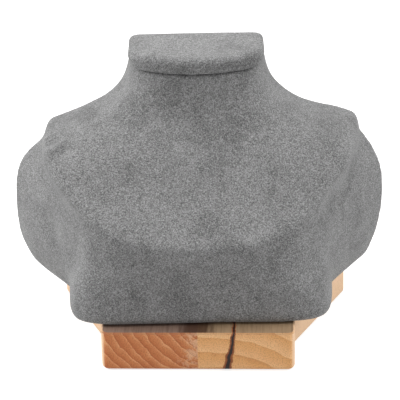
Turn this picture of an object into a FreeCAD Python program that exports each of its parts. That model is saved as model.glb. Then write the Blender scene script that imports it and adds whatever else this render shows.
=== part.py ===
"""Necklace display stand: a cloth-covered bust on a solid wooden base.

Sizes are in millimetres. X runs across the stand, Y from the front face of the base
(Y = 0) to the back, and Z up from the table. Each piece is moved at the end, so that
the origin lies under the middle of the whole stand.
"""

import FreeCAD, Part
import math
import os

Vector = FreeCAD.Vector

# Wooden base: two staves glued side by side, straight in front and then flared
base_thickness = 22.0
base_front_width = 101.0
base_straight_depth = 29.0
base_depth = 94.0
base_flare_degrees = 24.3
base_corner_radius = 4.0
base_lower_edge_radius = 2.5
base_upper_chamfer = 0.8

# Bust: its flat back, how far it is turned on the base, the height of its neck above the
# base, what its sections run past that, and its lower edge
bust_back_y = 87.0
bust_turn_degrees = 2.5
neck_top_height = 125.5
section_overrun = 9.5
bust_lower_chamfer = 2.5

# Torso, in control sections: height, half width, depth, squareness of the D
torso_half_width = 69.5
torso_depth = 78.5
torso_sections = [
    (0.0, torso_half_width, torso_depth, 1.15),
    (14.0, torso_half_width, torso_depth, 1.15),
    (28.0, torso_half_width, 81.0, 0.98),
    (43.0, 72.0, 84.5, 0.82),
    (59.0, 75.0, 85.0, 0.77),
    (75.0, 86.5, 85.0, 0.77),
    (88.0, 84.5, 85.0, 0.77),
    (neck_top_height + section_overrun, 60.0, 85.0, 0.78),
]

# Chest and neck, in control sections: height, half width, depth, squareness of the D
chest_sections = [
    (-10.0, 285.0, 138.0, 0.78),
    (20.0, 225.0, 110.0, 0.78),
    (48.0, 170.0, 83.0, 0.78),
    (70.0, 128.0, 63.0, 0.78),
    (84.0, 97.0, 53.5, 0.78),
    (93.0, 65.5, 47.0, 0.77),
    (99.0, 50.0, 43.5, 0.76),
    (107.0, 40.6, 41.2, 0.75),
    (117.0, 36.0, 40.4, 0.75),
    (neck_top_height + section_overrun, 34.5, 40.2, 0.75),
]

# Stubs of the arms: half of the stand's widest size, and the arm's rounded outline at the
# back, as distances inside that and heights
arm_half_width = 101.6
arm_outline = [
    (12.6, 0.0),
    (9.0, 2.8),
    (6.7, 7.5),
    (3.5, 16.0),
    (1.2, 27.0),
    (0.0, 39.0),
    (0.6, 50.0),
    (2.7, 59.5),
    (7.0, 68.0),
    (14.1, 76.0),
]
arm_root_half_width = 50.0
arm_length = 60.0
arm_flare_degrees = 31.0
arm_overrun = 5.0

# Cap on the neck: a board wrapped in the same cloth
cap_half_width = 35.6
cap_depth = 42.5
cap_front_radius = 60.0
cap_side_radius = 10.0
cap_back_corner_radius = 5.0
cap_thickness = 9.0
cap_upper_chamfer = 1.8

# Thin panel over the back of the bust
back_panel_thickness = 2.0
back_panel_margin = 3.0
back_panel_steps = 24
back_panel_tries = 2

# Reach of the blocks that trim the pieces, well past their sides
trim_reach = 300.0


def quarter_points(half_width, depth, squareness, side, end):
    """Four control points for a quarter of a rounded outline, from its side to its end."""
    return [
        (side * half_width, 0.0),
        (side * half_width, end * squareness * depth),
        (side * squareness * half_width, end * depth),
        (0.0, end * depth),
    ]


def quarter_surface(sections, side, end):
    """Smooth surface over one quarter of a stack of rounded sections."""
    net = []
    for height, half_width, depth, squareness in sections:
        row = quarter_points(half_width, depth, squareness, side, end)
        net.append([Vector(x, bust_back_y + y, base_thickness + height) for x, y in row])
    spans = len(sections) - 3
    knots = list(range(spans + 1))
    surface = Part.BSplineSurface()
    surface.buildFromPolesMultsKnots(
        net, [4] + [1] * (spans - 1) + [4], [4, 4], knots, [0, 1], False, False, 3, 3
    )
    return surface.toShape()


def stacked_solid(sections):
    """Closed body through a stack of rounded sections about the plane of the back."""
    faces = [quarter_surface(sections, *s) for s in ((1, -1), (-1, -1), (-1, 1), (1, 1))]
    walls = list(faces)
    for section in (sections[0], sections[-1]):
        z = base_thickness + section[0]
        rim = []
        for wall in walls:
            level = [e for e in wall.Edges if abs(e.BoundBox.ZMin + e.BoundBox.ZMax - 2 * z) < 0.01]
            rim += [e for e in level if e.BoundBox.ZLength < 0.01]
        faces.append(Part.Face(Part.Wire(Part.__sortEdges__(rim))))
    shell = Part.makeShell(faces)
    shell.sewShape()
    solid = Part.makeSolid(shell)
    if solid.Volume < 0:
        solid.reverse()
    return solid


def torso():
    """The middle of the bust, with a narrow bevel round its foot."""
    solid = stacked_solid(torso_sections)
    rim = [e for e in solid.Edges if e.BoundBox.ZMax < base_thickness + 0.01]
    return solid.makeChamfer(bust_lower_chamfer, rim)


def arm(side):
    """Stub of an arm: its outline at the back, extruded forwards and inwards."""
    flare = math.tan(math.radians(arm_flare_degrees))
    start = bust_back_y + arm_overrun

    def at(inset, height):
        x = arm_half_width - inset + flare * arm_overrun
        return Vector(side * x, start, base_thickness + height)

    root_inset = arm_half_width - arm_root_half_width
    top_inset, top_height = arm_outline[-1]
    curve = Part.BSplineCurve()
    curve.interpolate([at(inset, height) for inset, height in arm_outline])
    corners = [
        at(top_inset, top_height),
        at(root_inset, top_height),
        at(root_inset, 0),
        at(*arm_outline[0]),
    ]
    edges = [curve.toShape()]
    edges += [Part.LineSegment(a, b).toShape() for a, b in zip(corners, corners[1:])]
    outline = Part.Face(Part.Wire(Part.__sortEdges__(edges)))
    length = arm_length + arm_overrun
    return outline.extrude(Vector(-side * length * flare, -length, 0))


def bust_form():
    """Torso and arms, cut by the sloping chest, the flat back and the top of the neck."""
    room = Part.makeBox(
        2 * trim_reach,
        trim_reach,
        neck_top_height,
        Vector(-trim_reach, bust_back_y - trim_reach, base_thickness),
    )
    body = torso().fuse([arm(-1), arm(1)])
    return body.common(stacked_solid(chest_sections)).common(room).Solids[0]


def back_panel(form):
    """Panel on the bust's back: the bust's own outline there, a margin inside it."""
    back = max(
        (f for f in form.Faces if f.BoundBox.YMin > bust_back_y - 0.01), key=lambda f: f.Area
    )

    def half_width(height):
        z = base_thickness + height
        across = Part.makeLine(Vector(0, bust_back_y, z), Vector(trim_reach, bust_back_y, z))
        return back.common(across).Length

    def margin_inside(height):
        tries = []
        for k in range(-back_panel_tries, back_panel_tries + 1):
            angle = math.pi / 2 * k / (back_panel_tries + 1)
            nearby = half_width(height + back_panel_margin * math.sin(angle))
            tries.append(nearby - back_panel_margin * math.cos(angle))
        return min(tries)

    low = back_panel_margin
    rise = (neck_top_height - 2 * back_panel_margin) / back_panel_steps
    right = [(margin_inside(low + rise * k), low + rise * k) for k in range(back_panel_steps + 1)]
    left = [(-x, height) for x, height in reversed(right)]
    points = [Vector(x, bust_back_y, base_thickness + height) for x, height in right + left]
    outline = Part.Face(Part.makePolygon(points + points[:1]))
    return outline.extrude(Vector(0, back_panel_thickness, 0))


def cap_outline():
    """D of straight sides, a round corner on each side and a shallow arc in front."""
    corner_x = cap_half_width - cap_side_radius
    front_centre = cap_depth - cap_front_radius
    reach = cap_front_radius - cap_side_radius
    corner_y = front_centre + math.sqrt(reach**2 - corner_x**2)
    turn = math.atan2(corner_y - front_centre, corner_x)
    middle = turn / 2

    def at(x, forward):
        return Vector(x, bust_back_y - forward, base_thickness + neck_top_height)

    def on_corner(side, angle):
        x = corner_x + cap_side_radius * math.cos(angle)
        return at(side * x, corner_y + cap_side_radius * math.sin(angle))

    edges = [Part.LineSegment(at(-cap_half_width, 0), at(cap_half_width, 0))]
    for side in (-1, 1):
        edges.append(Part.LineSegment(at(side * cap_half_width, 0), on_corner(side, 0)))
        edges.append(Part.Arc(on_corner(side, 0), on_corner(side, middle), on_corner(side, turn)))
    edges.append(Part.Arc(on_corner(-1, turn), at(0, cap_depth), on_corner(1, turn)))
    return Part.Face(Part.Wire(Part.__sortEdges__([e.toShape() for e in edges])))


def neck_cap():
    """Board wrapped in cloth, with a soft upper edge."""
    cap = cap_outline().extrude(Vector(0, 0, cap_thickness))
    z = base_thickness + neck_top_height
    back = [e for e in cap.Edges if e.BoundBox.YMin > bust_back_y - 0.01 and e.BoundBox.ZLength > 1]
    cap = cap.makeFillet(cap_back_corner_radius, back)
    top = [e for e in cap.Edges if e.BoundBox.ZMin > z + cap_thickness - 0.01]
    return cap.makeChamfer(cap_upper_chamfer, top)


def base_block():
    """The whole base before it is divided into its two staves."""
    half_front = base_front_width / 2
    flare = math.tan(math.radians(base_flare_degrees))
    half_back = half_front + (base_depth - base_straight_depth) * flare
    right = [(half_front, 0), (half_front, base_straight_depth), (half_back, base_depth)]
    left = [(-x, y) for x, y in reversed(right)]
    corners = [Vector(x, y, 0) for x, y in right + left]
    outline = Part.Face(Part.makePolygon(corners + corners[:1]))
    block = outline.extrude(Vector(0, 0, base_thickness))
    upright = [
        e for e in block.Edges
        if e.BoundBox.ZLength > 1 and abs(e.BoundBox.YMin - base_straight_depth) > 1
    ]
    block = block.makeFillet(base_corner_radius, upright)
    lower = [e for e in block.Edges if e.BoundBox.ZMax < 0.01]
    block = block.makeFillet(base_lower_edge_radius, lower)
    upper = [e for e in block.Edges if e.BoundBox.ZMin > base_thickness - 0.01]
    return block.makeChamfer(base_upper_chamfer, upper)


def stave(block, side):
    """Half of the base, on one side of the glued joint."""
    corner = Vector(0 if side > 0 else -trim_reach, -trim_reach, 0)
    room = Part.makeBox(trim_reach, 2 * trim_reach, base_thickness, corner)
    return block.common(room).Solids[0]


def turned(shape):
    """The bust and what is fixed to it stand slightly turned on the base."""
    copy = shape.copy()
    copy.rotate(Vector(0, base_depth / 2, 0), Vector(0, 0, 1), bust_turn_degrees)
    return copy


def make_stand():
    block = base_block()
    bust = bust_form()
    return {
        "base_stave_left": stave(block, -1),
        "base_stave_right": stave(block, 1),
        "bust": turned(bust),
        "neck_cap": turned(neck_cap()),
        "back_panel": turned(back_panel(bust)),
    }


def write_parts(pieces):
    """Move the origin under the middle of the stand and write one file for each piece."""
    os.makedirs("parts", exist_ok=True)
    box = Part.makeCompound(list(pieces.values())).optimalBoundingBox(False)
    middle = Vector(-(box.XMin + box.XMax) / 2, -(box.YMin + box.YMax) / 2, -box.ZMin)
    for name, shape in pieces.items():
        if not shape.isValid() or not shape.Solids:
            raise ValueError(f"{name} is not a closed solid")
        if len(shape.Solids) == 1:
            shape = shape.Solids[0]
        shape.translate(middle)
        shape.exportStep(f"parts/{name}.step")
        print(name, len(shape.Solids), round(shape.Volume), "mm3")


write_parts(make_stand())
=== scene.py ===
"""Necklace stand: a bust under grey microsuede on a base of two glued wooden staves.

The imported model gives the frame, in metres. The cloth pieces are made over copies of
their solids, and the two staves keep their solids and get their wood.
"""

import logging
import math
from dataclasses import dataclass, field
from enum import Enum
from typing import Optional, Union

import bpy
from mathutils import Matrix, Vector


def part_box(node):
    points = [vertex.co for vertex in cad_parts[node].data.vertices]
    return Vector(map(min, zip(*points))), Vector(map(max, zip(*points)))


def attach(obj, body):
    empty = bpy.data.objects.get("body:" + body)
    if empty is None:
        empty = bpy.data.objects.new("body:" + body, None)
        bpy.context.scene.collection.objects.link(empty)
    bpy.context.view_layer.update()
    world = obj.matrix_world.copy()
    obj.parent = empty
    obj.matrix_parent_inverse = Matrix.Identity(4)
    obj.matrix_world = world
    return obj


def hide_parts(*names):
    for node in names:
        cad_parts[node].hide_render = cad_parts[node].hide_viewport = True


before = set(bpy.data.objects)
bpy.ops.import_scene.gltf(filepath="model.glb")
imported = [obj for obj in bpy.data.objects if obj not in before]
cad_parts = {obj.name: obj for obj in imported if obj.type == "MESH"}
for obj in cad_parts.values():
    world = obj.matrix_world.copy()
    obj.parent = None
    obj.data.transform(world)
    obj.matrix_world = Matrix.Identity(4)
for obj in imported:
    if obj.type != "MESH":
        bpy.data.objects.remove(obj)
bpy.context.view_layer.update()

log = logging.getLogger("necklace_stand")

Triple = tuple[float, float, float]
Colour = tuple[float, float, float]
Span = tuple[float, float]
Stops = tuple[tuple[float, Colour], ...]
Socket = bpy.types.NodeSocket
Value = Union[float, Socket]
Shade = Union[Colour, Socket]

WHITE: Colour = (1.0, 1.0, 1.0)
FIBRE_STOPS: Stops = (
    (0.0, (0.62, 0.56, 0.5)),
    (0.5, (0.95, 0.94, 0.92)),
    (1.0, WHITE),
)
MERGE_DISTANCE = 1e-6
SMOOTH_FACTOR = 0.5


def linear(red: int, green: int, blue: int) -> Colour:
    """Turn a display colour into the light that a shader works with.

    Args:
        red: Red, from 0 to 255.
        green: Green, from 0 to 255.
        blue: Blue, from 0 to 255.

    Returns:
        The three linear values, from 0 to 1.
    """
    parts = []
    for part in (red, green, blue):
        share = part / 255
        parts.append(share / 12.92 if share <= 0.04045 else ((share + 0.055) / 1.055) ** 2.4)
    return parts[0], parts[1], parts[2]


def grey(level: int) -> Colour:
    """Linear value of a neutral grey, given from 0 to 255."""
    return linear(level, level, level)


class Face(Enum):
    """Faces of the wooden base that are finished in their own way, by their direction; the upper
    face and the bevel round it carry painted shade.
    """

    TOP = (0.0, 0.0, 1.0)
    LEFT = (-1.0, 0.0, 0.0)
    RIGHT = (1.0, 0.0, 0.0)


class Blend(Enum):
    """Ways to lay one colour over another."""

    MIX = "MIX"
    MULTIPLY = "MULTIPLY"


@dataclass(frozen=True)
class Noise:
    """Soft random pattern on the object's coordinates.

    Attributes:
        size: Size of its largest patches, in metres.
        detail: Number of finer layers.
        roughness: Strength of the finer layers.
        distortion: How much the pattern is pulled about.
        stretch: Scale of the coordinates along each axis, if they are not taken as they are.
    """

    size: float
    detail: float = 2.0
    roughness: float = 0.5
    distortion: float = 0.0
    stretch: Optional[Triple] = None


@dataclass(frozen=True)
class Ramp:
    """Share that is 0 up to the start and rises evenly to 1 over the length."""

    start: float
    length: float

    def at(self, value: float) -> float:
        """The share at one value."""
        return min(max((value - self.start) / self.length, 0.0), 1.0)


class NodeBench:
    """Lays out and links the nodes of one tree."""

    def __init__(self, tree: bpy.types.NodeTree) -> None:
        """Take up a tree.

        Args:
            tree: Tree that the nodes go into.
        """
        self.nodes = tree.nodes
        self.links = tree.links

    def first(self, kind: str) -> bpy.types.Node:
        """The tree's first node of one kind."""
        return next(node for node in self.nodes if node.type == kind)

    def feed(self, socket: Socket, value: Union[Value, tuple[float, ...]]) -> None:
        """Link a value into a socket, or set it there where it is plain.

        Args:
            socket: Socket that takes the value.
            value: Another node's socket, or a plain number or colour.
        """
        if isinstance(value, Socket):
            self.links.new(value, socket)
        else:
            socket.default_value = value

    def calc(self, operation: str, *values: Value, clamp: bool = False) -> Socket:
        """Work out one number from others.

        Args:
            operation: Name of the operation.
            values: Numbers or sockets that it works on.
            clamp: Whether the result stays between 0 and 1.

        Returns:
            The result's socket.
        """
        node = self.nodes.new("ShaderNodeMath")
        node.operation = operation
        node.use_clamp = clamp
        for socket, value in zip(node.inputs, values):
            self.feed(socket, value)
        return node.outputs[0]

    def plus(self, first: Value, second: Value) -> Socket:
        """The sum of two numbers."""
        return self.calc("ADD", first, second)

    def less(self, first: Value, second: Value) -> Socket:
        """The first number less the second."""
        return self.calc("SUBTRACT", first, second)

    def times(self, first: Value, second: Value) -> Socket:
        """The product of two numbers."""
        return self.calc("MULTIPLY", first, second)

    def swing(self, pattern: Socket, reach: float) -> Socket:
        """A pattern from 0 to 1, made to swing about 0 over the whole reach."""
        return self.times(self.less(pattern, 0.5), reach)

    def opposite(self, share: Socket) -> Socket:
        """What a share leaves of the whole."""
        return self.less(1.0, share)

    def raised(self, share: Socket, low: float) -> Socket:
        """A share made to run from low to 1."""
        return self.calc("MULTIPLY_ADD", share, 1.0 - low, low)

    def seen(self) -> Socket:
        """1 for what the camera sees, straight or mirrored, and 0 for the rest of the light.

        Returns:
            The share's socket.
        """
        path = self.nodes.new("ShaderNodeLightPath")
        rays = (path.outputs["Is Camera Ray"], path.outputs["Is Glossy Ray"])
        return self.calc("ADD", *rays, clamp=True)


class FinishBench(NodeBench):
    """Lays out the nodes of one finish."""

    def __init__(self, name: str) -> None:
        """Start a finish with its shader.

        Args:
            name: Name of the finish.
        """
        self.finish = bpy.data.materials.new(name)
        self.finish.use_nodes = True
        super().__init__(self.finish.node_tree)
        self.shader = self.first("BSDF_PRINCIPLED").inputs
        self.place = self.nodes.new("ShaderNodeTexCoord").outputs["Object"]

    def moved(self, shift: Triple, stretch: Triple) -> Socket:
        """Coordinates on the object, stretched and then moved.

        Args:
            shift: Distance that they move, in metres.
            stretch: Scale along each axis.

        Returns:
            The coordinates' socket.
        """
        node = self.nodes.new("ShaderNodeMapping")
        self.links.new(self.place, node.inputs["Vector"])
        node.inputs["Location"].default_value = shift
        node.inputs["Scale"].default_value = stretch
        return node.outputs["Vector"]

    def axes(self) -> tuple[Socket, ...]:
        """Split the coordinates on the object.

        Returns:
            The three coordinates, each as a socket of its own.
        """
        node = self.nodes.new("ShaderNodeSeparateXYZ")
        self.links.new(self.place, node.inputs[0])
        return tuple(node.outputs)

    def length(self, vector: Socket) -> Socket:
        """Measure a vector.

        Args:
            vector: The vector.

        Returns:
            The socket of its length.
        """
        node = self.nodes.new("ShaderNodeVectorMath")
        node.operation = "LENGTH"
        self.links.new(vector, node.inputs[0])
        return node.outputs["Value"]

    def noise(self, noise: Noise) -> Socket:
        """Lay out a soft random pattern.

        Args:
            noise: The pattern.

        Returns:
            The pattern's socket, from 0 to 1.
        """
        place = self.moved((0.0, 0.0, 0.0), noise.stretch) if noise.stretch else self.place
        node = self.nodes.new("ShaderNodeTexNoise")
        self.links.new(place, node.inputs["Vector"])
        node.inputs["Scale"].default_value = 1 / noise.size
        node.inputs["Detail"].default_value = noise.detail
        node.inputs["Roughness"].default_value = noise.roughness
        node.inputs["Distortion"].default_value = noise.distortion
        return node.outputs[0]

    def graded(self, value: Value, stops: Stops) -> Socket:
        """Colours along a scale.

        Args:
            value: Place on the scale, from 0 to 1.
            stops: Places and their colours, in order.

        Returns:
            The colour's socket.
        """
        node = self.nodes.new("ShaderNodeValToRGB")
        marks = node.color_ramp.elements
        marks.remove(marks[1])
        marks[0].position = stops[0][0]
        marks[0].color = (*stops[0][1], 1.0)
        for place, colour in stops[1:]:
            marks.new(place).color = (*colour, 1.0)
        self.feed(node.inputs[0], value)
        return node.outputs["Color"]

    def spread(self, value: Value, low: float, high: float) -> Socket:
        """Stretch a number smoothly, so that it runs from 0 to 1.

        Args:
            value: The number.
            low: What becomes 0.
            high: What becomes 1.

        Returns:
            The stretched number's socket.
        """
        node = self.nodes.new("ShaderNodeMapRange")
        node.interpolation_type = "SMOOTHSTEP"
        self.feed(node.inputs["Value"], value)
        node.inputs["From Min"].default_value = low
        node.inputs["From Max"].default_value = high
        return node.outputs[0]

    def mixed(
        self, share: Value, first: Shade, second: Shade, blend: Blend = Blend.MIX
    ) -> Socket:
        """Mix two colours.

        Args:
            share: Share of the second colour, from 0 to 1.
            first: First colour.
            second: Second colour.
            blend: How the second is laid over the first.

        Returns:
            The mixed colour's socket.
        """
        node = self.nodes.new("ShaderNodeMix")
        node.data_type = "RGBA"
        node.blend_type = blend.value
        self.feed(node.inputs[0], share)
        for socket, colour in ((node.inputs[6], first), (node.inputs[7], second)):
            self.feed(socket, colour if isinstance(colour, Socket) else (*colour, 1.0))
        return node.outputs[2]

    def towards(self, face: Face, low: float, high: float) -> Socket:
        """How much a surface faces the way of one face.

        Args:
            face: The face.
            low: Share of facing that counts as none.
            high: Share of facing that counts as all.

        Returns:
            The share's socket, from 0 to 1.
        """
        normal = self.nodes.new("ShaderNodeTexCoord").outputs["Normal"]
        dot = self.nodes.new("ShaderNodeVectorMath")
        dot.operation = "DOT_PRODUCT"
        self.links.new(normal, dot.inputs[0])
        dot.inputs[1].default_value = face.value
        return self.spread(dot.outputs["Value"], low, high)

    def relief(self, height: Socket, depth: float, strength: float = 1.0) -> Socket:
        """Surface relief.

        Args:
            height: Pattern of heights, from 0 to 1.
            depth: Depth of the relief, in metres.
            strength: Strength of the relief.

        Returns:
            The normal's socket.
        """
        node = self.nodes.new("ShaderNodeBump")
        node.inputs["Strength"].default_value = strength
        node.inputs["Distance"].default_value = depth
        self.links.new(height, node.inputs["Height"])
        return node.outputs["Normal"]


@dataclass(frozen=True)
class Microsuede:
    """Short-napped grey cloth, brushed into soft patches by handling.

    Attributes:
        name: Name of the finish.
        dark: Darkest tone.
        middle: Middle tone.
        light: Lightest tone.
        nap: Pattern of the single tufts.
        curl: Pattern of tufts that lie together.
        patch: Pattern of the brushed patches.
        nap_share: Part of the nap in the tone and the relief.
        curl_share: Part of the curl in the tone and the relief.
        patch_share: How far the patches shift the tone.
        smudge_share: How far the darkest patches are darkened further.
        smudge_edge: Where a patch is dark, and where it is clean.
        tone_range: Range of the patterns that the three tones are spread over.
        depth: Depth of the relief, in metres.
        roughness: Roughness of the surface.
        specular: Strength of its mirrored light.
        sheen: Strength of the light caught by its fibres.
        sheen_roughness: Softness of that light.
    """

    name: str = "grey_microsuede"
    dark: Colour = grey(84)
    middle: Colour = grey(130)
    light: Colour = grey(170)
    nap: Noise = Noise(0.00062, 2.0, 0.6, 0.4)
    curl: Noise = Noise(0.0015, 3.0, 0.6, 1.2)
    patch: Noise = Noise(0.016, 2.0, 0.5, 0.6)
    nap_share: float = 0.72
    curl_share: float = 0.28
    patch_share: float = 0.11
    smudge_share: float = 0.018
    smudge_edge: Span = (0.36, 0.45)
    tone_range: Span = (0.3, 0.7)
    depth: float = 0.0005
    roughness: float = 0.95
    specular: float = 0.15
    sheen: float = 0.27
    sheen_roughness: float = 0.45

    def made(self) -> bpy.types.Material:
        """Lay out the finish.

        Returns:
            The finish as a material.
        """
        bench = FinishBench(self.name)
        nap = bench.times(bench.noise(self.nap), self.nap_share)
        curl = bench.times(bench.noise(self.curl), self.curl_share)
        patch = bench.noise(self.patch)
        fine = bench.plus(nap, curl)
        smudge = bench.opposite(bench.spread(patch, *self.smudge_edge))
        tone = bench.plus(fine, bench.swing(patch, self.patch_share))
        tone = bench.less(tone, bench.times(smudge, self.smudge_share))
        stops = ((0.0, self.dark), (0.5, self.middle), (1.0, self.light))
        colour = bench.graded(bench.spread(tone, *self.tone_range), stops)
        bench.feed(bench.shader["Base Color"], colour)
        bench.feed(bench.shader["Normal"], bench.relief(fine, self.depth))
        bench.shader["Roughness"].default_value = self.roughness
        bench.shader["Specular IOR Level"].default_value = self.specular
        bench.shader["Sheen Weight"].default_value = self.sheen
        bench.shader["Sheen Roughness"].default_value = self.sheen_roughness
        return bench.finish


@dataclass(frozen=True)
class Streak:
    """Dark bark pocket with a brown margin, which runs down the front of a stave.

    Attributes:
        foot: Place across the base where it meets the floor, in metres.
        lean: How far it moves across for each metre up.
        half_width: Half its width at the floor, in metres.
        narrowing: How much the half width changes for each metre up.
        waver: How far it wavers, in metres.
        wave: Pattern of the wavering.
        raggedness: How much its half width varies, in metres.
        rags: Pattern of that variation.
        front: Depth up to which it is full, and at which it has faded out.
        bark: Colour of the bark.
        bark_edge: Where the bark starts and stops fading, in half widths.
        margin: Colour of the margin.
        margin_edge: Where the margin starts and stops fading, in half widths.
    """

    foot: float
    lean: float
    half_width: float
    narrowing: float = -0.03
    waver: float = 0.0024
    wave: Noise = Noise(0.006, 3.0, 0.6, stretch=(0.3, 0.3, 1.0))
    raggedness: float = 0.0011
    rags: Noise = Noise(0.003, 2.0, 0.6)
    front: Span = (-0.036, -0.03)
    bark: Colour = linear(30, 17, 12)
    bark_edge: Span = (0.75, 1.25)
    margin: Colour = linear(138, 78, 44)
    margin_edge: Span = (1.7, 2.6)

    def mask(self, bench: FinishBench, edge: Span) -> Socket:
        """Find where the streak lies.

        Args:
            bench: Bench of the finish.
            edge: Where the mask starts and stops fading, in half widths.

        Returns:
            Socket that is 1 in the streak and 0 beside it.
        """
        across, depth, up = bench.axes()
        line = bench.calc("MULTIPLY_ADD", up, self.lean, self.foot)
        line = bench.plus(line, bench.swing(bench.noise(self.wave), self.waver))
        away = bench.calc("ABSOLUTE", bench.less(across, line))
        width = bench.calc("MULTIPLY_ADD", up, self.narrowing, self.half_width)
        width = bench.plus(width, bench.swing(bench.noise(self.rags), self.raggedness))
        dark = bench.opposite(bench.spread(bench.calc("DIVIDE", away, width), *edge))
        return bench.times(dark, bench.opposite(bench.spread(depth, *self.front)))

    def laid(self, bench: FinishBench, colour: Socket) -> Socket:
        """A stave's colour with the margin and then the bark laid over it."""
        colour = bench.mixed(self.mask(bench, self.margin_edge), colour, self.margin)
        return bench.mixed(self.mask(bench, self.bark_edge), colour, self.bark)


@dataclass(frozen=True)
class Wood:
    """Sanded wood whose fibres run from front to back, with rings about a distant pith.

    Attributes:
        name: Name of the finish.
        pith: Place of the pith, across the base and up, in metres.
        ring: Width of one ring, in metres.
        stops: Colours along one ring, on the sawn ends.
        shaded_top: The two colours of the upper face: its wood tone, darkened and greyed as
            painted shade under the bust.
        side: Colour of the long grain at the sides.
        streak: Bark pocket, where the stave has one.
        sway: How far the rings wander, in metres.
        swaying: Pattern of the wandering.
        ripple: How far the rings ripple, in metres.
        rippling: Pattern of the rippling.
        fibre: Pattern of the fibres.
        fibre_range: Range of that pattern that the fibre colours are spread over.
        cloud: Pattern of the soft changes of tone.
        ring_share: Part of the rings in the tone of the ends.
        cloud_share: Part of the cloud in the tone of the ends.
        end_fibre: How strongly the fibres show on the ends.
        top_fibre: How strongly they show on the upper face.
        side_fibre: How strongly they show at the sides.
        shaded_top_edge: Facing up at which the painted shade of the upper face starts, and at
            which it is full.
        side_edge: Facing sideways at which a side starts, and at which it is full.
        arris_shade: Colour of the painted shade on the bevel round the upper face.
        arris_shade_edge: Facing up at which the painted shade of that bevel starts, and at which
            it is full.
        arris_shade_strength: How strongly that painted shade shows.
        pale_from: Place across where pale patches start, where the stave has them.
        pale: Colour of the pale patches.
        paling: Pattern of the patches.
        pale_edge: Where in the pattern a patch starts, and where it is full.
        pale_strength: How strongly the patches show.
        dark_patch: Colour of the dark brown patch on the upper face.
        dark_patch_place: Middle of that patch across the base, in metres.
        dark_patch_waver: How far its edge wavers, in metres.
        wavering: Pattern of that edge.
        dark_patch_edge: Distance at which the dark patch starts to fade, and at which it ends.
        dark_patch_strength: How strongly the dark patch shows.
        depth: Depth of the relief, in metres.
        relief_strength: Strength of the relief.
        roughness: Roughness of the surface.
        specular: Strength of its mirrored light.
    """

    name: str
    pith: Span
    ring: float
    stops: Stops
    shaded_top: tuple[Colour, Colour]
    side: Colour = linear(246, 208, 170)
    streak: Optional[Streak] = None
    sway: float = 0.007
    swaying: Noise = Noise(0.03, stretch=(1.0, 0.12, 1.0))
    ripple: float = 0.0012
    rippling: Noise = Noise(0.006, stretch=(1.0, 0.1, 1.0))
    fibre: Noise = Noise(0.0007, 2.0, 0.7, stretch=(1.0, 0.03, 1.0))
    fibre_range: Span = (0.3, 0.7)
    cloud: Noise = Noise(0.012, 3.0, 0.6, stretch=(1.0, 0.2, 1.0))
    ring_share: float = 0.5
    cloud_share: float = 0.5
    end_fibre: float = 0.8
    top_fibre: float = 0.75
    side_fibre: float = 0.25
    shaded_top_edge: Span = (0.8, 0.95)
    side_edge: Span = (0.5, 0.85)
    # Painted shade for the bevel round the upper face.
    arris_shade: Colour = linear(96, 66, 46)
    arris_shade_edge: Span = (0.4, 0.65)
    arris_shade_strength: float = 0.45
    pale_from: Optional[float] = None
    pale: Colour = linear(238, 196, 160)
    paling: Noise = Noise(0.005, 3.0, 0.65, 0.5)
    pale_edge: Span = (0.44, 0.58)
    pale_strength: float = 0.6
    # Darker brown patch on the upper face, across the joint of the staves.
    dark_patch: Colour = linear(66, 40, 26)
    dark_patch_place: float = 0.0012
    dark_patch_waver: float = 0.012
    wavering: Noise = Noise(0.0018, 3.0, 0.7, stretch=(1.0, 0.1, 1.0))
    dark_patch_edge: Span = (0.01, 0.018)
    dark_patch_strength: float = 0.85
    depth: float = 0.00025
    relief_strength: float = 0.5
    roughness: float = 0.55
    specular: float = 0.3

    def rings(self, bench: FinishBench) -> Socket:
        """Lay out the growth rings.

        Args:
            bench: Bench of the finish.

        Returns:
            Socket that runs from 0 to 1 across each ring.
        """
        flat = bench.moved((-self.pith[0], 0.0, -self.pith[1]), (1.0, 0.0, 1.0))
        sway = bench.times(bench.noise(self.swaying), self.sway)
        ripple = bench.times(bench.noise(self.rippling), self.ripple)
        distance = bench.plus(bench.plus(bench.length(flat), sway), ripple)
        return bench.calc("FRACT", bench.calc("DIVIDE", distance, self.ring))

    def pale_mask(self, bench: FinishBench, start: float) -> Socket:
        """Find the pale patches of the ends, which thicken towards the joint of the staves.

        Args:
            bench: Bench of the finish.
            start: Place across the base where the first patches lie.

        Returns:
            Socket that rises to the patches' strength.
        """
        near = bench.spread(bench.axes()[0], start, 0.0)
        patch = bench.times(near, bench.spread(bench.noise(self.paling), *self.pale_edge))
        return bench.times(patch, self.pale_strength)

    def dark_patch_mask(self, bench: FinishBench) -> Socket:
        """Find the dark brown patch on the upper face, across the joint of the staves.

        Args:
            bench: Bench of the finish.

        Returns:
            Socket that rises to the stain's strength.
        """
        away = bench.calc("ABSOLUTE", bench.less(bench.axes()[0], self.dark_patch_place))
        away = bench.plus(away, bench.times(bench.noise(self.wavering), self.dark_patch_waver))
        inside = bench.opposite(bench.spread(away, *self.dark_patch_edge))
        return bench.times(inside, self.dark_patch_strength)

    def end_grain(self, bench: FinishBench, cloud: Socket) -> Socket:
        """Colour the sawn ends, with their rings and pale patches.

        Args:
            bench: Bench of the finish.
            cloud: Soft changes of tone.

        Returns:
            The colour's socket.
        """
        rings = bench.times(self.rings(bench), self.ring_share)
        tone = bench.plus(rings, bench.times(cloud, self.cloud_share))
        end = bench.graded(tone, self.stops)
        if self.pale_from is None:
            return end
        return bench.mixed(self.pale_mask(bench, self.pale_from), end, self.pale)

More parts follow.
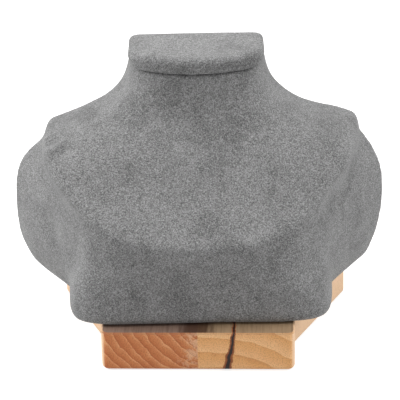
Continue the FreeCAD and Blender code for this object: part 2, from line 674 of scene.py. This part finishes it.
    def made(self) -> bpy.types.Material:
        """Lay out the finish.

        Returns:
            The finish as a material.
        """
        bench = FinishBench(self.name)
        fibre = bench.noise(self.fibre)
        cloud = bench.noise(self.cloud)
        grain = bench.graded(bench.spread(fibre, *self.fibre_range), FIBRE_STOPS)
        end = self.end_grain(bench, cloud)
        end = bench.mixed(self.end_fibre, end, grain, Blend.MULTIPLY)
        # Painted shade: the upper face is coloured darker and greyer than the long grain of the
        # sides, as if in the bust's shadow.
        shaded_top = bench.mixed(cloud, *self.shaded_top)
        shaded_top = bench.mixed(self.top_fibre, shaded_top, grain, Blend.MULTIPLY)
        # The upper face is darker brown in a patch across the joint.
        shaded_top = bench.mixed(self.dark_patch_mask(bench), shaded_top, self.dark_patch)
        side = bench.mixed(self.side_fibre, self.side, grain, Blend.MULTIPLY)
        # Painted shade: the bevel round the upper face is darkened in place of the light that it
        # catches.
        arris_shade_mask = bench.towards(Face.TOP, *self.arris_shade_edge)
        colour = bench.mixed(bench.times(arris_shade_mask, self.arris_shade_strength), end, self.arris_shade)
        # The upper face's painted-shade colour is laid on by how far a surface faces up.
        colour = bench.mixed(bench.towards(Face.TOP, *self.shaded_top_edge), colour, shaded_top)
        for face in (Face.LEFT, Face.RIGHT):
            colour = bench.mixed(bench.towards(face, *self.side_edge), colour, side)
        if self.streak is not None:
            colour = self.streak.laid(bench, colour)
        normal = bench.relief(fibre, self.depth, self.relief_strength)
        bench.feed(bench.shader["Base Color"], colour)
        bench.feed(bench.shader["Normal"], normal)
        bench.shader["Roughness"].default_value = self.roughness
        bench.shader["Specular IOR Level"].default_value = self.specular
        return bench.finish


@dataclass(frozen=True)
class Push:
    """One place where the cloth is pushed in or pulled out.

    Attributes:
        place: The place, in metres.
        move: How far the cloth moves there, in metres.
        reach: How far round the place it follows, in metres.
    """

    place: Triple
    move: Triple
    reach: float


@dataclass
class ClothSkin:
    """Cloth bonded over one solid, softened where the solid has edges.

    Attributes:
        node: Node of the solid.
        name: Name of the piece.
        slot: Name of a material slot; not used.
        voxel: Size of the mesh, in metres.
        softening: Rounds of smoothing over the whole piece.
        valley: How far the form is swelled to fill its hollows, in metres.
        valley_softening: Rounds of smoothing while it is swelled.
        shoulder_softening: Rounds of smoothing at the shoulders.
        shoulder_out: Where the shoulders start, as a share of the half width.
        shoulder_up: Where the shoulders start, as a share of the height.
        back_fade: Distance from the back over which they come in, in metres.
        back_share: Part of their smoothing that is left at the back.
        arm_out: Where the arms start, as a share of the half width.
        arm_share: Part of that smoothing that the arms get.
        lump_size: Size of the soft lumps, in metres.
        lump_height: Height of the lumps, in metres.
        undercut: How far the lower edge is drawn in, as a share of the width.
        undercut_down: Where that starts, as a share of the height from the top.
        pushes: Places pushed in or pulled out.
    """

    node: str
    name: str
    slot: str
    voxel: float = 0.0012
    softening: int = 4
    valley: float = 0.0
    valley_softening: int = 4
    shoulder_softening: int = 0
    shoulder_out: Ramp = Ramp(0.55, 0.2)
    shoulder_up: Ramp = Ramp(0.45, 0.15)
    back_fade: Ramp = Ramp(0.006, 0.014)
    back_share: float = 0.3
    arm_out: Ramp = Ramp(0.72, 0.1)
    arm_share: float = 0.22
    lump_size: float = 0.028
    lump_height: float = 0.0006
    undercut: float = 0.0
    undercut_down: Ramp = Ramp(0.35, 0.5)
    pushes: tuple[Push, ...] = ()

    def over_solid(self) -> bpy.types.Object:
        """Copy the solid as one closed mesh.

        Returns:
            The copy, active and selected.
        """
        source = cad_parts[self.node]
        piece = bpy.data.objects.new(self.name, source.data.copy())
        bpy.context.scene.collection.objects.link(piece)
        bpy.ops.object.select_all(action="DESELECT")
        bpy.context.view_layer.objects.active = piece
        piece.select_set(True)
        bpy.ops.object.mode_set(mode="EDIT")
        bpy.ops.mesh.select_all(action="SELECT")
        bpy.ops.mesh.remove_doubles(threshold=MERGE_DISTANCE)
        bpy.ops.mesh.normals_make_consistent(inside=False)
        bpy.ops.object.mode_set(mode="OBJECT")
        return piece

    def finished(self, piece: bpy.types.Object, kind: str, **settings: object) -> None:
        """Add one modifier to a piece and apply it.

        Args:
            piece: The piece, active and selected.
            kind: Type of the modifier.
            settings: Its settings.
        """
        modifier = piece.modifiers.new(kind.lower(), kind)
        for key, value in settings.items():
            setattr(modifier, key, value)
        bpy.ops.object.modifier_apply(modifier=modifier.name)

    def meshed(self, piece: bpy.types.Object) -> None:
        """Lay an even mesh over the piece."""
        self.finished(piece, "REMESH", mode="VOXEL", voxel_size=self.voxel, use_smooth_shade=True)

    def smoothed(self, piece: bpy.types.Object, rounds: int, **settings: object) -> None:
        """Smooth the piece, as often as the rounds say."""
        self.finished(piece, "SMOOTH", factor=SMOOTH_FACTOR, iterations=rounds, **settings)

    def filled(self, piece: bpy.types.Object) -> None:
        """Stretch the cloth across the hollows, as a larger form that is drawn in again.

        Args:
            piece: The piece, active and selected.
        """
        self.finished(piece, "DISPLACE", strength=self.valley, mid_level=0.0)
        self.meshed(piece)
        self.smoothed(piece, self.valley_softening)
        self.finished(piece, "DISPLACE", strength=-self.valley, mid_level=0.0)
        self.meshed(piece)

    def rounded(self, piece: bpy.types.Object) -> None:
        """Round the shoulders, and a little the arms, more than the rest.

        Args:
            piece: The piece, active and selected.
        """
        group = piece.vertex_groups.new(name="shoulders")
        low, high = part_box(self.node)
        for vertex in piece.data.vertices:
            out = abs(vertex.co.x) / high[0]
            up = (vertex.co.z - low[2]) / (high[2] - low[2])
            share = self.shoulder_out.at(out) * self.shoulder_up.at(up)
            off_back = self.back_fade.at(high[1] - vertex.co.y)
            share *= self.back_share + (1.0 - self.back_share) * off_back
            share = max(share, self.arm_share * self.arm_out.at(out))
            if share > 0:
                group.add([vertex.index], share, "REPLACE")
        self.smoothed(piece, self.shoulder_softening, vertex_group=group.name)
        piece.vertex_groups.clear()

    def drawn_under(self, piece: bpy.types.Object) -> None:
        """Draw the cloth in towards the lower edge, where it is folded under.

        Args:
            piece: The piece.
        """
        low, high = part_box(self.node)
        middle_x, middle_y = (low[0] + high[0]) / 2, (low[1] + high[1]) / 2
        for vertex in piece.data.vertices:
            down = (high[2] - vertex.co.z) / (high[2] - low[2])
            keep = 1.0 - self.undercut * self.undercut_down.at(down)
            vertex.co.x = middle_x + (vertex.co.x - middle_x) * keep
            vertex.co.y = middle_y + (vertex.co.y - middle_y) * keep

    def pushed(self, piece: bpy.types.Object, push: Push) -> None:
        """Push or pull the cloth round one place.

        Args:
            piece: The piece, active and selected.
            push: The place, the move and how far round it the cloth follows.
        """
        centre = Vector(push.place)
        nearest = min(piece.data.vertices, key=lambda v: (v.co - centre).length_squared).index
        bpy.ops.object.mode_set(mode="EDIT")
        bpy.ops.mesh.select_mode(type="VERT")
        bpy.ops.mesh.select_all(action="DESELECT")
        bpy.ops.object.mode_set(mode="OBJECT")
        piece.data.vertices[nearest].select = True
        bpy.ops.object.mode_set(mode="EDIT")
        bpy.ops.transform.translate(
            value=push.move, use_proportional_edit=True, proportional_edit_falloff="SMOOTH",
            proportional_size=push.reach, use_proportional_connected=False,
        )
        bpy.ops.object.mode_set(mode="OBJECT")

    def build(self, finish: bpy.types.Material) -> bpy.types.Object:
        """Make the cloth and dress it.

        Args:
            finish: The cloth's material.

        Returns:
            The finished piece.
        """
        piece = self.over_solid()
        self.meshed(piece)
        if self.valley:
            self.filled(piece)
        if self.shoulder_softening:
            self.rounded(piece)
        self.smoothed(piece, self.softening)
        if self.undercut:
            self.drawn_under(piece)
        for push in self.pushes:
            self.pushed(piece, push)
        lumps = bpy.data.textures.new(self.name + "_lumps", "CLOUDS")
        lumps.noise_scale = self.lump_size
        lumps.noise_depth = 1
        self.finished(
            piece, "DISPLACE", texture=lumps, texture_coords="LOCAL",
            strength=self.lump_height, mid_level=0.5,
        )
        piece.data.materials.clear()
        piece.data.materials.append(finish)
        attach(piece, "root")
        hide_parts(self.node)
        log.info("%s: %d faces", piece.name, len(piece.data.polygons))
        return piece


@dataclass
class Bust:
    """The bust's cloth, the cap on its neck and the panel on its back."""

    form: ClothSkin = field(
        default_factory=lambda: ClothSkin(
            "bust", "bust_cloth", "cloth", valley=0.0065, shoulder_softening=60,
            pushes=(
                Push((0.083, 0.035, 0.112), (0.0035, 0.0, 0.0005), 0.03),
                Push((-0.083, 0.035, 0.112), (0.002, 0.0, -0.0005), 0.03),
                Push((0.062, 0.04, 0.118), (0.0, 0.0, -0.0007), 0.022),
                Push((-0.084, 0.04, 0.112), (0.0004, 0.0, 0.0), 0.016),
                Push((0.089, 0.04, 0.112), (-0.0009, 0.0, -0.0005), 0.016),
                Push((-0.088, 0.02, 0.042), (-0.0026, 0.0, -0.0012), 0.03),
                Push((-0.075, 0.0042, 0.1091), (0.0009, 0.0006, -0.0022), 0.0075),
                Push((-0.068, -0.006, 0.1072), (0.0004, 0.0007, -0.0012), 0.0065),
                Push((-0.077, -0.002, 0.0585), (0.0016, 0.001, 0.0), 0.017),
                Push((-0.0647, -0.02, 0.053), (0.0022, 0.0012, 0.0), 0.018),
                Push((0.073, -0.0135, 0.088), (-0.0022, 0.0014, 0.0), 0.016),
                Push((0.06, -0.0315, 0.051), (-0.0014, 0.0018, 0.0), 0.013),
            ),
        )
    )
    cap: ClothSkin = field(
        default_factory=lambda: ClothSkin(
            "neck_cap", "neck_cap_cloth", "cap_cloth", voxel=0.0009, softening=18,
            lump_height=0.0004, undercut=0.035,
        )
    )
    panel: ClothSkin = field(
        default_factory=lambda: ClothSkin(
            "back_panel", "back_panel_cloth", "panel_cloth", voxel=0.0009, softening=3,
            lump_height=0.0002,
            pushes=(
                Push((0.09, 0.045, 0.108), (-0.0018, 0.0, -0.002), 0.022),
                Push((-0.09, 0.045, 0.108), (0.0018, 0.0, -0.002), 0.022),
            ),
        )
    )

    def build(self) -> list[bpy.types.Object]:
        """Make the three cloth pieces."""
        finish = Microsuede().made()
        return [skin.build(finish) for skin in (self.form, self.cap, self.panel)]


@dataclass
class Base:
    """The two staves of the base, which keep their solids."""

    left: Wood = Wood(
        name="red_stave",
        pith=(0.074, 0.1),
        ring=0.0046,
        stops=(
            (0.24, linear(228, 166, 116)),
            (0.36, linear(212, 138, 88)),
            (0.6, linear(200, 122, 74)),
            (0.8, linear(180, 100, 58)),
        ),
        # Upper face: the stave's tone darkened and greyed, painted shade under the bust.
        shaded_top=(linear(116, 95, 84), linear(142, 117, 104)),
        pale_from=-0.014,
        sway=0.011,
        ripple=0.0026,
    )
    right: Wood = Wood(
        name="tan_stave",
        pith=(0.008, -0.07),
        ring=0.0085,
        stops=(
            (0.2, linear(250, 202, 148)),
            (0.45, linear(240, 184, 128)),
            (0.65, linear(233, 174, 113)),
            (0.85, linear(214, 150, 92)),
        ),
        # Upper face: the stave's tone darkened and greyed, painted shade under the bust.
        shaded_top=(linear(142, 118, 91), linear(168, 142, 113)),
        streak=Streak(foot=0.0165, lean=0.2, half_width=0.0011),
    )

    def build(self) -> list[bpy.types.Object]:
        """Dress both staves.

        Returns:
            The two staves.
        """
        staves = []
        for node, wood in (("base_stave_left", self.left), ("base_stave_right", self.right)):
            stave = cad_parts[node]
            stave.data.materials.clear()
            stave.data.materials.append(wood.made())
            log.info("%s: %s", node, wood.name)
            staves.append(stave)
        return staves


@dataclass(frozen=True)
class Lamp:
    """One soft square lamp.

    Attributes:
        name: Name of the lamp.
        place: Its place, in metres.
        power: Its power, in watts.
        size: Length of its side, in metres.
    """

    name: str
    place: Triple
    power: float
    size: float = 0.7


@dataclass
class Studio:
    """White floor, soft lights and the camera.

    Attributes:
        target: Point that the camera and the lamps face, in metres.
        azimuth: Way round to the camera, in degrees.
        elevation: Way up to the camera, in degrees.
        roll: Roll of the camera, in degrees.
        distance: Distance of the camera, in metres.
        lens: Focal length, in millimetres.
        sensor: Width of the sensor, in millimetres.
        shift: Shift of the picture, as shares of its width.
        far_clip: Distance at which the camera stops seeing, in metres.
        floor_size: Side of the floor, in metres.
        floor_level: Height of the floor, just under the base, in metres.
        floor_colour: Colour of the floor.
        floor_roughness: Roughness of the floor.
        near_glow: Glow of the floor round the stand, beside 1 far off.
        glow_reach: Distances between which the glow rises, in metres.
        ambient: Strength of the light from all sides.
        lamps: The lamps.
    """

    target: Vector = field(default_factory=lambda: Vector((0.0, 0.0, 0.07)))
    azimuth: float = 3.0
    elevation: float = 25.0
    roll: float = 1.27
    distance: float = 1.1
    lens: float = 187.1
    sensor: float = 36.0
    shift: Span = (0.01, 0.0275)
    far_clip: float = 50.0
    floor_size: float = 6.0
    floor_level: float = -0.0002
    floor_colour: Colour = (0.6, 0.6, 0.6)
    floor_roughness: float = 0.9
    near_glow: float = 0.72
    glow_reach: Span = (0.2, 0.9)
    ambient: float = 0.4
    lamps: tuple[Lamp, ...] = (
        Lamp("lamp_above", (-0.1, -0.15, 1.5), 10.0),
        Lamp("lamp_left", (-1.2, 0.1, 0.75), 12.0),
        Lamp("lamp_right", (1.2, 0.1, 0.75), 8.5),
        Lamp("lamp_front", (0.1, -1.4, 0.35), 1.7),
    )

    def camera(self) -> bpy.types.Object:
        """Set up the camera so that its picture lies over the photograph.

        Returns:
            The camera in the scene.
        """
        around = math.radians(self.azimuth)
        up = math.radians(self.elevation)
        level = math.cos(up)
        way = Vector((math.sin(around) * level, -math.cos(around) * level, math.sin(up)))
        data = bpy.data.cameras.new("camera")
        data.lens = self.lens
        data.sensor_width = self.sensor
        data.shift_x, data.shift_y = self.shift
        data.clip_end = self.far_clip
        camera = bpy.data.objects.new("camera", data)
        look = (-way).to_track_quat("-Z", "Y").to_matrix().to_4x4()
        rolled = Matrix.Rotation(math.radians(-self.roll), 4, "Z")
        camera.matrix_world = Matrix.Translation(self.target + way * self.distance) @ look @ rolled
        bpy.context.scene.collection.objects.link(camera)
        bpy.context.scene.camera = camera
        return camera

    def hung(self, lamp: Lamp) -> bpy.types.Object:
        """Hang one lamp so that it faces the stand.

        Args:
            lamp: The lamp's place, power and size.

        Returns:
            The lamp in the scene.
        """
        data = bpy.data.lights.new(lamp.name, "AREA")
        data.size = lamp.size
        data.energy = lamp.power
        light = bpy.data.objects.new(lamp.name, data)
        place = Vector(lamp.place)
        aim = (self.target - place).to_track_quat("-Z", "Y").to_matrix().to_4x4()
        light.matrix_world = Matrix.Translation(place) @ aim
        bpy.context.scene.collection.objects.link(light)
        return light

    def floor(self) -> bpy.types.Object:
        """Lay the white floor, which shows the shadow and glows white beyond it.

        Returns:
            The floor in the scene.
        """
        bpy.ops.object.select_all(action="DESELECT")
        place = (0.0, 0.0, self.floor_level)
        bpy.ops.mesh.primitive_plane_add(size=self.floor_size, location=place)
        floor = bpy.context.active_object
        floor.name = "floor"
        bench = FinishBench("white_floor")
        bench.shader["Base Color"].default_value = (*self.floor_colour, 1.0)
        bench.shader["Roughness"].default_value = self.floor_roughness
        bench.shader["Specular IOR Level"].default_value = 0.0
        bench.shader["Emission Color"].default_value = (*WHITE, 1.0)
        far = bench.spread(bench.length(bench.place), *self.glow_reach)
        glow = bench.times(bench.seen(), bench.raised(far, self.near_glow))
        bench.feed(bench.shader["Emission Strength"], glow)
        floor.data.materials.append(bench.finish)
        return floor

    def sky(self) -> None:
        """Set up white surroundings that light the stand softly from all sides."""
        world = bpy.data.worlds.new("surroundings")
        world.use_nodes = True
        bpy.context.scene.world = world
        bench = NodeBench(world.node_tree)
        back = bench.first("BACKGROUND").inputs
        back["Color"].default_value = (*WHITE, 1.0)
        bench.feed(back["Strength"], bench.raised(bench.seen(), self.ambient))

    def build(self) -> None:
        """Set up the whole studio."""
        bpy.context.scene.view_settings.view_transform = "Standard"
        self.camera()
        self.floor()
        self.sky()
        for lamp in self.lamps:
            self.hung(lamp)
        log.info("studio ready")


def main() -> None:
    """Build the studio and the stand."""
    logging.basicConfig(level=logging.INFO, format="%(name)s %(message)s")
    Studio().build()
    Bust().build()
    Base().build()


if __name__ == "__main__":
    main()
